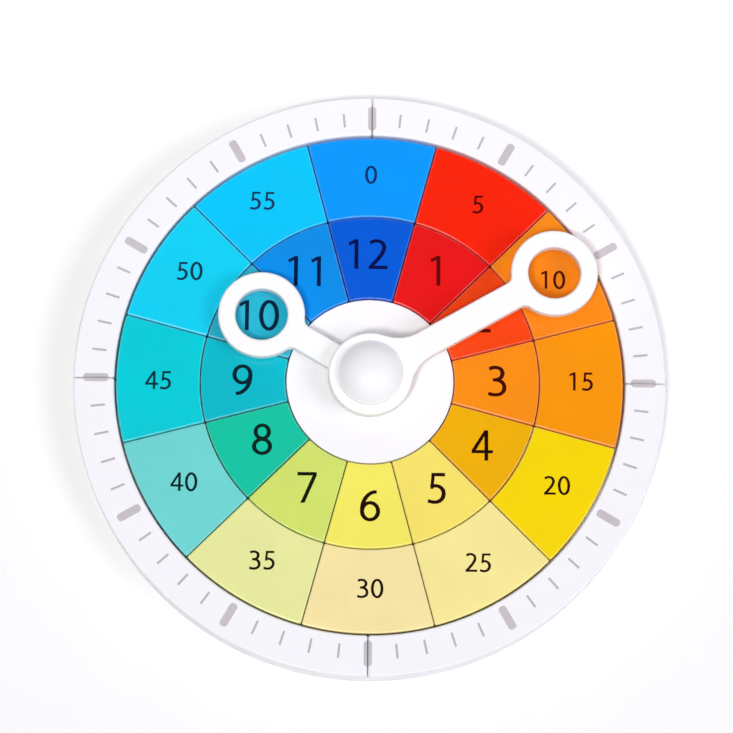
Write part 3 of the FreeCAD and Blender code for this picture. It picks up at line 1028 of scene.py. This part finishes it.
@dataclass
class Workshop:
    """What every sub-assembly is built with."""

    effects: Effects = field(default_factory=Effects)
    repeater: AxisRepeater = field(default_factory=AxisRepeater)
    press: NumeralPress = field(default_factory=NumeralPress)

    def white(self, part: WhitePart) -> bpy.types.Material:
        """Finish of a white piece, made once."""
        return bpy.data.materials.get(part.value.name) or part.value.material(self.effects)

    def fit(self, piece: bpy.types.Object, body: str, slot: str = "", *nodes: str) -> None:
        """Let a piece ride on a body and stand for its nodes.

        Args:
            piece: The finished piece.
            body: Body that it moves with.
            slot: The record's material slot, or an empty word for none. It is not used.
            nodes: Nodes that it stands for.
        """
        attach(piece, body)
        if nodes:
            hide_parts(*nodes)
        log.info("%-22s %6d faces, on %s", piece.name, len(piece.data.polygons), body)


@dataclass
class Assembly:
    """Sub-assembly that is built in a workshop."""

    shop: Workshop


@dataclass
class Board(Assembly):
    """Round board with its rim, its hub and the printed minute marks."""

    radius: float = 150.0
    base_top: float = 9.0
    edge: float = 1.2
    joint_edge: float = 0.25          # where the rim lies on the board
    rim_inner: float = 129.3
    rim_top: float = 22.5
    rim_edge: float = 1.1
    rim_corner: float = 1.2
    rim_joint: float = 0.4
    hub_radius: float = 42.3
    hub_top: float = 21.0
    hub_edge: float = 0.5
    bush_radius: float = 7.0
    pocket_x: float = 9.975
    pocket_radius: float = 28.535
    pocket_roof: float = 15.1
    cover_radius: float = 36.535
    cover_gap: float = 0.4
    cover_top: float = 3.5
    recess_cut: float = 0.4
    recess_support: float = 0.15
    bore_cut: float = 0.3
    major_radii: tuple[float, float] = (132.1, 144.9)
    major_width: float = 4.15
    minor_radii: tuple[float, float] = (134.2, 141.6)
    minor_width: float = 1.1

    def build(self) -> None:
        """Build and fit every piece of the board."""
        self._base()
        self._rim()
        self._hub()
        self._marks()

    def _base(self) -> None:
        """Build the board with its pocket and the ledge that the cover lies on."""
        shell = Shell()
        outer = shell.sides(circle(self.radius),
                            round_edges(0.0, self.base_top, self.edge, self.joint_edge))
        recess = circle(self.cover_radius + self.cover_gap, (self.pocket_x, 0.0), hole=True)
        recess_rings = shell.sides(recess, (
            *slanted_edge(0.0, self.recess_cut, self.recess_support), (0.0, self.cover_top, 0.0)))
        pocket = circle(self.pocket_radius, (self.pocket_x, 0.0), hole=True)
        pocket_rings = shell.sides(pocket, ((0.0, self.cover_top, 0.0), (0.0, self.base_top, 0.0)))
        shell.cap(outer[0], recess_rings[0])
        shell.cap(recess_rings[-1], pocket_rings[0])
        shell.cap(outer[-1], pocket_rings[-1])
        self.shop.fit(shell.done("board_base", self.shop.white(WhitePart.BOARD)),
                      "board", "board_paint", "base_board")

    def _rim(self) -> None:
        """Build the rim of four quarters."""
        outline = ring_sector(self.rim_inner, self.radius, 90.0, self.rim_joint, self.rim_corner)
        paint = self.shop.white(WhitePart.RIM)
        edges = round_edges(self.base_top, self.rim_top, self.joint_edge, self.rim_edge)
        blank = plate("rim_blank", [outline], edges, paint)
        rim = self.shop.repeater.copies(blank, "rim", paint, 4, 45.0, 90.0)
        discard(blank)
        quarters = (f"rim_quarter_{place}" for place in ("ne", "nw", "sw", "se"))
        self.shop.fit(rim, "board", "rim_paint", *quarters)

    def _hub(self) -> None:
        """Build the hub, which is hollow below for the wheels."""
        shell = Shell()
        edges = round_edges(self.base_top, self.hub_top, self.joint_edge, self.hub_edge)
        outer = shell.sides(circle(self.hub_radius), edges)
        pocket = shell.sides(circle(self.pocket_radius, (self.pocket_x, 0.0), hole=True),
                             ((0.0, self.base_top, 0.0), (0.0, self.pocket_roof, 0.0)))
        bore = shell.sides(circle(self.bush_radius, hole=True),
                           ((0.0, self.pocket_roof, 0.0),
                            (0.0, self.hub_top - self.bore_cut, 0.0),
                            (-self.bore_cut, self.hub_top, 0.0)))
        shell.cap(outer[0], pocket[0])
        shell.cap(pocket[-1], bore[0])
        shell.cap(outer[-1], bore[-1])
        self.shop.fit(shell.done("hub", self.shop.white(WhitePart.HUB)),
                      "board", "hub_paint", "hub_disc")

    def _marks(self) -> None:
        """Print sixty marks on the rim; the rim's joints run through four of them."""
        ink, pale = (
            PaintFinish(name, colour, clouds=0.8, drift=0.9, wear=0.0, specular=0.2,
                        sheen_loss=0.5).material(self.shop.effects)
            for name, colour in (("Mauve grey print", (206, 198, 204)),
                                 ("Grey print", (190, 187, 193))))
        film = ((0.0, self.rim_top - FILM_SUNK, 0.0), (0.0, self.rim_top + FILM_PROUD, 0.0))
        copies = self.shop.repeater.copies

        def mark(name: str, radii: tuple[float, float], width: float, material: bpy.types.Material,
                 split: float = 0.0) -> bpy.types.Object:
            """Blank of one mark at 3 o'clock.

            Args:
                name: Name of the blank.
                radii: Where it starts and ends.
                width: Its width.
                material: Its ink.
                split: Width taken off for a joint of the rim.

            Returns:
                The blank.
            """
            flat = stadium(radii[1] - radii[0], width, split)
            middle = np.array(((radii[0] + radii[1]) / 2, 0.0))
            return plate(name, [Outline(flat.points + middle, flat.normals)], film, material)

        minor = mark("minor_blank", self.minor_radii, self.minor_width, pale)
        four = copies(minor, "four_minor", pale, 4, STEP / 5, STEP / 5)
        minors = copies(four, "minute_marks", pale, HOURS, 0.0, STEP)
        major = mark("major_blank", self.major_radii, self.major_width, ink)
        pair = copies(major, "two_major", ink, 2, STEP, STEP)
        majors = copies(pair, "five_minute_marks", ink, 4, 0.0, 90.0)
        half = mark("half_blank", self.major_radii, self.major_width, ink, split=self.rim_joint)
        left = copies(half, "joint_marks_left", ink, 4, 0.0, 90.0)
        half.data.transform(Matrix.Diagonal((1, -1, 1, 1)))
        half.data.flip_normals()
        right = copies(half, "joint_marks_right", ink, 4, 0.0, 90.0)
        discard(minor, four, major, pair, half)
        for piece in (minors, majors, left, right):
            self.shop.fit(piece, "board")


@dataclass
class TileRing(Assembly):
    """Ring of twelve loose tiles with printed numerals."""

    kind: str
    inner: float
    outer: float
    paints: tuple[TilePaint, ...]
    numeral_height: float
    numeral_radius: float
    numeral_weight: float            # of the pen
    numeral_lift: float = 1.2        # of the numerals towards 12 o'clock
    gap: float = 0.45
    corner: float = 1.0
    edge: float = 0.8
    joint_edge: float = 0.4           # of the tile's underside
    bottom: float = 9.0
    top: float = 21.0

    def label(self, position: int) -> str:
        """Number on the tile at a position counted in hours from 12 o'clock."""
        return str(5 * position) if self.kind == "minute" else str(position or HOURS)

    def build(self) -> None:
        """Build and fit the twelve tiles and their numerals."""
        outline = ring_sector(self.inner, self.outer, STEP, self.gap, self.corner)
        edges = round_edges(self.bottom, self.top, self.joint_edge, self.edge)
        blank = plate(f"{self.kind}_tile_blank", [outline], edges, self.shop.white(WhitePart.BOARD))
        for position, colours in enumerate(self.paints):
            self._tile(blank, position, colours)
        discard(blank)

    def _tile(self, blank: bpy.types.Object, position: int, colours: TilePaint) -> None:
        """Build and fit one tile and its numeral.

        Args:
            blank: Tile at 3 o'clock.
            position: Place of the tile, in hours from 12 o'clock.
            colours: Its paint and ink.
        """
        label = self.label(position)
        name = f"{self.kind}_{int(label):02d}"
        node = f"{self.kind}_tile_{int(label):02d}"
        clock = from_twelve(STEP * position)
        # The tile's sides are paler: partly thin paint, partly a painted highlight for walls lit in
        # the joints.
        paint = PaintFinish(f"{node} paint", colours.paint, clouds=0.9, rubbed=0.3, thin_sides=0.25,
                            sheen_loss=0.15, specular=0.35).material(self.shop.effects)
        tile = self.shop.repeater.copies(blank, f"{name}_block", paint, 1, clock)
        self.shop.fit(tile, node, f"{node}_paint", node)
        ink = PaintFinish(f"{node} ink", colours.ink, clouds=0.6, drift=0.8, wear=0.0,
                          specular=0.06, sheen_loss=0.5).material(self.shop.effects)
        middle = unit(clock) * self.numeral_radius + np.array((0.0, self.numeral_lift))
        numeral = self.shop.press.film(f"{name}_numeral", label, self.numeral_height,
                                       middle + colours.shift, self.top, ink, self.numeral_weight)
        self.shop.fit(numeral, node)


@dataclass
class Hand(Assembly):
    """Flat hand with a collar round the axis and a ring for a fingertip."""

    kind: str
    angle: float                      # clockwise from 12 o'clock
    length: float
    bottom: float
    arm_width: float
    collar_radius: float
    collar_fillet: float
    bore: float
    boss_radius: float = 0.0
    boss_bottom: float = 0.0
    boss_cut: float = 0.3
    thickness: float = 6.5
    ring_radius: float = 22.0
    hole_radius: float = 13.2
    ring_fillet: float = 4.0
    edge: float = 1.2

    def outline(self) -> Outline:
        """Outline of the hand along 3 o'clock.

        Returns:
            The outline, with the arm blended into collar and ring.
        """
        half = self.arm_width / 2
        blend_y, neck_y = half + self.collar_fillet, half + self.ring_fillet
        blend_x = math.sqrt((self.collar_radius + self.collar_fillet) ** 2 - blend_y ** 2)
        neck_x = math.sqrt((self.ring_radius + self.ring_fillet) ** 2 - neck_y ** 2)
        collar_angle = math.degrees(math.atan2(blend_y, blend_x))
        neck_angle = math.degrees(math.atan2(neck_y, -neck_x))
        pen = OutlinePen()
        pen.arc((self.length, 0), self.ring_radius, 0, neck_angle)
        pen.arc((self.length - neck_x, neck_y), self.ring_fillet, neck_angle - 180, -90,
                hollow=True)
        pen.arc((blend_x, blend_y), self.collar_fillet, -90, collar_angle - 180, hollow=True)
        pen.arc((0, 0), self.collar_radius, collar_angle, 180)
        flip = np.array((1, -1))
        pen.points += [p * flip for p in pen.points[-2:0:-1]]
        pen.normals += [n * flip for n in pen.normals[-2:0:-1]]
        return pen.close()

    def build(self) -> None:
        """Build and fit the hand."""
        turn = from_twelve(self.angle)
        top = self.bottom + self.thickness
        profile = round_edges(self.bottom, top, self.edge, self.edge)
        shell = Shell()
        outer = shell.sides(self.outline().turned(turn), profile)
        hole = shell.sides(circle(self.hole_radius, unit(turn) * self.length, hole=True), profile)
        low = self.bottom
        underside = [outer[0], hole[0]]
        if self.boss_radius:
            low = self.boss_bottom
            boss = shell.sides(circle(self.boss_radius),
                               (*slanted_edge(low, self.boss_cut), (0.0, self.bottom, 0.0)))
            underside.append(boss[-1])
        bore = shell.sides(circle(self.bore, hole=True), ((0.0, low, 0.0), (0.0, top, 0.0)))
        if self.boss_radius:
            shell.cap(boss[0], bore[0])
        else:
            underside.append(bore[0])
        shell.cap(*underside)
        shell.cap(outer[-1], hole[-1], bore[-1])
        hand = shell.done(f"{self.kind}_hand_plate", self.shop.white(WhitePart.HAND))
        self.shop.fit(hand, f"{self.kind}_set", "hand_paint", f"{self.kind}_hand")


@dataclass
class Knob(Assembly):
    """Round knob with an upright wall, a rounded shoulder and a domed crown."""

    radius: float = 16.2
    bottom: float = 38.5
    shoulder: float = 40.5
    top: float = 47.7
    edge: float = 0.6
    foot: float = 0.12
    crown_steps: int = 24
    sides: int = 128
    foot_wear: float = 0.2
    shoulder_wear: float = 0.3

    def build(self) -> None:
        """Build and fit the knob."""
        crown_radius, crown_low = self.radius - self.edge, self.shoulder + self.edge
        rise = self.top - crown_low
        sphere = (crown_radius ** 2 + rise ** 2) / (2 * rise)
        lean = math.asin(crown_radius / sphere)
        narrow, above = self.radius - self.foot, self.bottom + self.foot
        profile: list[ProfilePoint] = [
            (narrow - SUPPORT, self.bottom, 0.0), (narrow, self.bottom, self.foot_wear),
            (self.radius, above, self.foot_wear), (self.radius, above + SUPPORT, 0.0)]
        for step in range(EDGE_STEPS + 1):
            t = math.pi / 2 * step / EDGE_STEPS
            profile.append((crown_radius + self.edge * math.cos(t),
                            self.shoulder + self.edge * math.sin(t), self.shoulder_wear))
        for step in range(1, self.crown_steps):
            t = lean * (1 - step / self.crown_steps)
            profile.append((sphere * math.sin(t), self.top - sphere * (1 - math.cos(t)), 0.0))
        shell = Shell()
        rings = [shell.ring(circle(r, count=self.sides).points, z, wear) for r, z, wear in profile]
        shell.stack(rings)
        shell.cap(rings[0])
        shell.wall(rings[-1], shell.ring(np.zeros((1, 2)), self.top))
        knob = shell.done("knob", self.shop.white(WhitePart.KNOB))
        self.shop.fit(knob, "minute_set", "knob_paint", "hand_knob")


@dataclass
class Movement(Assembly):
    """Wheels, shafts and washers inside, and the cover and screws that hold them."""

    cover_radius: float = 36.535
    cover_x: float = 9.975
    bottom: float = 1.0
    top: float = 3.5
    cover_edge: float = 0.4
    joint_edge: float = 0.15
    idler_x: float = 21.0
    bush_radius: float = 5.0
    rivet_radius: float = 2.5
    screw_count: int = 4
    screw_sides: int = 40
    screw_circle: float = 32.535
    screw_first: float = 75.0
    screw_step: float = 70.0
    head_bottom: float = 1.1
    head_radius: float = 3.0
    head_height: float = 1.6
    shank_radius: float = 1.5
    screw_length: float = 15.5
    tip_height: float = 1.4
    slot_length: float = 3.4
    slot_width: float = 0.8
    slot_depth: float = 0.8
    slot_taper: float = 0.85          # of its floor
    thread_slack: float = 0.05        # round the shank
    head_rim: tuple[float, float] = (0.15, 0.05)      # inset of the head's two edges
    head_rise: float = 0.1            # from the one to the other
    hole_cut: float = 0.2
    sink_cut: tuple[float, float, float] = (0.25, 0.05, 0.15)     # widths and height of the slant

    def build(self) -> None:
        """Build the cover and its screws and dress the parts that come from the CAD."""
        self._cover()
        self._screws()
        self._inner()

    def _cover(self) -> None:
        """Build the round cover with its countersunk holes."""
        shell = Shell()
        outer = shell.sides(circle(self.cover_radius, (self.cover_x, 0.0)),
                            round_edges(self.bottom, self.top, self.cover_edge, self.joint_edge))
        eased = ((-self.hole_cut, self.bottom, 0.0), (0.0, self.bottom + self.hole_cut, 0.0),
                 (0.0, self.top, 0.0))
        holes = [shell.sides(circle(radius, (x, 0.0), hole=True), eased)
                 for radius, x in ((self.bush_radius, 0.0), (self.rivet_radius, self.idler_x))]
        flare = self.shank_radius - self.head_radius
        wide, narrow, rise = self.sink_cut
        sunk = ((flare - wide, self.bottom, 0.0), (flare - narrow, self.bottom + rise, 0.0),
                (0.0, self.head_bottom + self.head_height, 0.0), (0.0, self.top, 0.0))
        for number in range(self.screw_count):
            place = unit(self.screw_first + self.screw_step * number) * self.screw_circle
            place = place + np.array((self.cover_x, 0.0))
            hole = circle(self.shank_radius, place, hole=True, count=self.screw_sides)
            holes.append(shell.sides(hole, sunk))
        shell.cap(outer[0], *(rings[0] for rings in holes))
        shell.cap(outer[-1], *(rings[-1] for rings in holes))
        self.shop.fit(shell.done("back_cover_disc", self.shop.white(WhitePart.COVER)),
                      "board", "cover_wood", "back_cover")

    def _screws(self) -> None:
        """Build four countersunk screws with a cross slot."""
        steel = InnerPart.STEEL.value.material(self.shop.effects)
        shell = Shell()
        cone = self.head_bottom + self.head_height
        tip = self.head_bottom + self.screw_length
        shank = self.shank_radius - self.thread_slack
        low, high = self.head_rim
        profile = ((self.head_radius - low, self.head_bottom),
                   (self.head_radius - high, self.head_bottom + self.head_rise),
                   (shank, cone), (shank, tip - self.tip_height))
        rings = [shell.ring(circle(r, count=self.screw_sides).points, z) for r, z in profile]
        shell.stack(rings)
        shell.wall(rings[-1], shell.ring(np.zeros((1, 2)), tip))
        a, b = self.slot_length / 2, self.slot_width / 2
        cross = np.array(((a, -b), (a, b), (b, b), (b, a), (-b, a), (-b, b), (-a, b), (-a, -b),
                          (-b, -b), (-b, -a), (b, -a), (b, -b)))
        mouth = shell.ring(cross, self.head_bottom)
        floor = shell.ring(cross * self.slot_taper, self.head_bottom + self.slot_depth)
        shell.wall(mouth, floor)
        shell.cap(floor)
        shell.cap(rings[0], mouth)
        blank = shell.done("screw_blank", steel)
        blank.data.transform(Matrix.Translation((self.screw_circle * MM, 0, 0)))
        screws = self.shop.repeater.copies(blank, "cover_screw_set", steel, self.screw_count,
                                           self.screw_first, self.screw_step, (self.cover_x, 0.0))
        discard(blank)
        self.shop.fit(screws, "board", "bright_steel", "cover_screws")

    def _inner(self) -> None:
        """Dress the nodes that come from the CAD."""
        steel = bpy.data.materials[InnerPart.STEEL.value.name]
        brass = InnerPart.BRASS.value.material(self.shop.effects)
        stud = MetalFinish("Bright steel post", InnerPart.STEEL.value.colour).material(
            self.shop.effects, (self.idler_x, 0.0))
        ivory = InnerPart.GEAR.value.material(self.shop.effects)
        white = InnerPart.WASHER.value.material(self.shop.effects)
        dressed = {
            brass: ("hub_bush", "arbor_bush", "hour_pipe"),
            steel: ("minute_arbor", "friction_washer"),
            stud: ("idler_stud", "idler_clip"),
            ivory: ("cannon_pinion", "idler_gear", "hour_wheel"),
            white: ("hub_washer", "hand_washer"),
        }
        for material, nodes in dressed.items():
            for node in nodes:
                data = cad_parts[node].data
                data.materials.clear()
                data.materials.append(material)
                log.info("%-22s dressed in %s", node, material.name)


@dataclass(frozen=True)
class Lamp:
    """Broad round lamp that shines on the middle of the clock."""

    name: str
    clockwise: float       # direction that it shines from, counted from 12 o'clock
    elevation: float
    strength: float        # of its light where it falls on the clock
    spread: float          # how broad it looks from the clock, in degrees
    colour: Colour = (255, 255, 255)
    distance: float = 0.0  # in metres, or 0 for a lamp a long way off
    mirrored: bool = True  # whether glossy surfaces show it

    def hang(self) -> None:
        """Hang the lamp."""
        spread, reach = math.radians(self.spread), self.distance or SUN_PLACE
        if self.distance:
            light = bpy.data.lights.new(self.name, "AREA")
            light.shape = "DISK"
            light.size = 2 * reach * math.tan(spread / 2)
            light.energy = self.strength * math.pi * reach ** 2
        else:
            light = bpy.data.lights.new(self.name, "SUN")
            light.angle = spread
            light.energy = self.strength
        light.color = linear(self.colour)[:3]
        level = math.radians(self.elevation)
        across = unit(from_twelve(self.clockwise)) * math.cos(level)
        place = Vector((*across, math.sin(level))) * reach
        holder = add_object(self.name, light)
        holder.location = place
        holder.visible_camera = False
        holder.visible_glossy = self.mirrored
        holder.rotation_euler = place.to_track_quat("Z", "Y").to_euler()


@dataclass
class Studio(Assembly):
    """Pale table, soft light and the camera of the photograph."""

    camera_place: tuple[float, float, float] = (-0.021193, -0.306872, 1.411109)   # metres
    camera_turn: tuple[float, float, float] = (12.734, -0.907, 0.481)             # degrees
    lens: float = 138.105             # millimetres, as is the width of the film
    film_width: float = 36.0
    nearest: float = 0.01             # metres that the camera sees from
    lamps: tuple[Lamp, ...] = (Lamp("top", 190.0, 78.0, 1.0, 20.0),
                               Lamp("key", 210.0, 65.0, 1.2, 9.0),
                               Lamp("fill", 115.0, 47.0, 1.08, 28.0, (243, 242, 255)),
                               Lamp("back", 8.0, 49.0, 0.49, 50.0, distance=0.65, mirrored=False))
    sky_colour: Colour = (250, 250, 255)
    sky_strength: float = 0.03
    table_reach: float = 3000.0
    table_bottom: float = -20.0
    table_top: float = -0.1           # clear of the clock, so that the two don't flicker

    def build(self) -> None:
        """Set the stage."""
        scene = bpy.context.scene
        scene.view_settings.view_transform = "Standard"
        camera = bpy.data.cameras.new("camera")
        camera.lens = self.lens
        camera.sensor_width = self.film_width
        camera.clip_start = self.nearest
        holder = add_object("camera", camera)
        holder.location = self.camera_place
        holder.rotation_euler = [math.radians(a) for a in self.camera_turn]
        scene.camera = holder
        for lamp in self.lamps:
            lamp.hang()
        world = bpy.data.worlds.new("studio")
        world.use_nodes = True
        background = world.node_tree.nodes["Background"]
        background.inputs["Color"].default_value = linear(self.sky_colour)
        background.inputs["Strength"].default_value = self.sky_strength
        scene.world = world
        self._table()

    def _table(self) -> None:
        """Lay a pale table top under the clock."""
        shell = Shell()
        corners = np.array(((-1, -1), (1, -1), (1, 1), (-1, 1))) * self.table_reach
        low, high = shell.ring(corners, self.table_bottom), shell.ring(corners, self.table_top)
        shell.wall(low, high)
        shell.cap(low)
        shell.cap(high)
        finish = PaintFinish("Pale table", (254, 254, 254), clouds=0.4, drift=0.985, wear=0.0,
                             sheen_loss=0.6, specular=0.1)
        shell.done("table", finish.material(self.shop.effects))


def main() -> None:
    """Build the clock, sub-assembly by sub-assembly, and its studio."""
    shop = Workshop()
    Studio(shop).build()
    Board(shop).build()
    TileRing(shop, "minute", inner=86.15, outer=128.3, paints=MINUTE_PAINTS, numeral_height=9.4,
             numeral_radius=107.2, numeral_weight=1.14).build()
    TileRing(shop, "hour", inner=42.85, outer=85.7, paints=HOUR_PAINTS, numeral_height=15.65,
             numeral_radius=65.2, numeral_weight=1.02).build()
    Hand(shop, "hour", angle=300.0, length=63.8, bottom=24.5, arm_width=13.4, collar_radius=18.0,
         collar_fillet=6.0, bore=5.0, boss_radius=17.0, boss_bottom=21.7).build()
    Hand(shop, "minute", angle=60.0, length=106.8, bottom=32.0, arm_width=14.0, collar_radius=21.2,
         collar_fillet=20.0, bore=3.0).build()
    Knob(shop).build()
    Movement(shop).build()


if __name__ == "__main__":
    main()
